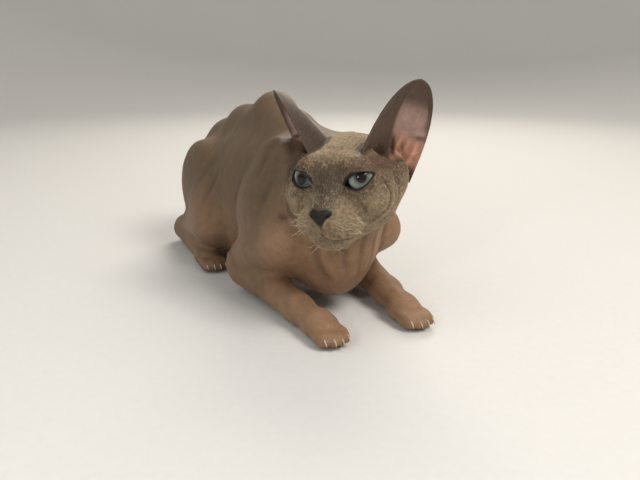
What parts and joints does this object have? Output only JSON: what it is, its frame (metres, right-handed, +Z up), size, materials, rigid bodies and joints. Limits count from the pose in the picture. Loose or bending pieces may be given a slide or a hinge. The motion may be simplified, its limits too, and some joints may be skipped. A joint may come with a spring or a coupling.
{
  "type": "still model of a crouching sphynx cat",
  "caption": "Life-size sphynx cat lying in a crouch, head raised and turned to its right, large ears up, forelegs out in front and tail curled round its left side.",
  "frame": {"origin": "on the floor under the middle of the belly, at the flat that the belly rests on", "axes": "+Z up from the floor, +Y from the cat's head to its rump, +X to the cat's left"},
  "size_m": [0.1924, 0.3951, 0.1889],
  "materials": {
    "skin": "matte, finely wrinkled skin with a short down",
    "ear_skin": "matte, thin skin",
    "nose_leather": "satin, slightly moist",
    "eye": "wet gloss"
  },
  "bodies": {
    "root": {"head": "skin", "neck": "skin", "chest": "skin", "abdomen": "skin", "rump": "skin", "shoulder_left": "skin", "shoulder_right": "skin", "forearm_left": "skin", "forearm_right": "skin", "forepaw_left": "skin", "forepaw_right": "skin", "thigh_left": "skin", "thigh_right": "skin", "shank_left": "skin", "shank_right": "skin", "hind_foot_left": "skin", "hind_foot_right": "skin", "tail_1": "skin", "tail_2": "skin", "tail_3": "skin", "tail_4": "skin", "ear_left": "ear_skin", "ear_right": "ear_skin", "nose": "nose_leather", "eye_left": "eye", "eye_right": "eye"}
  },
  "joints": []
}
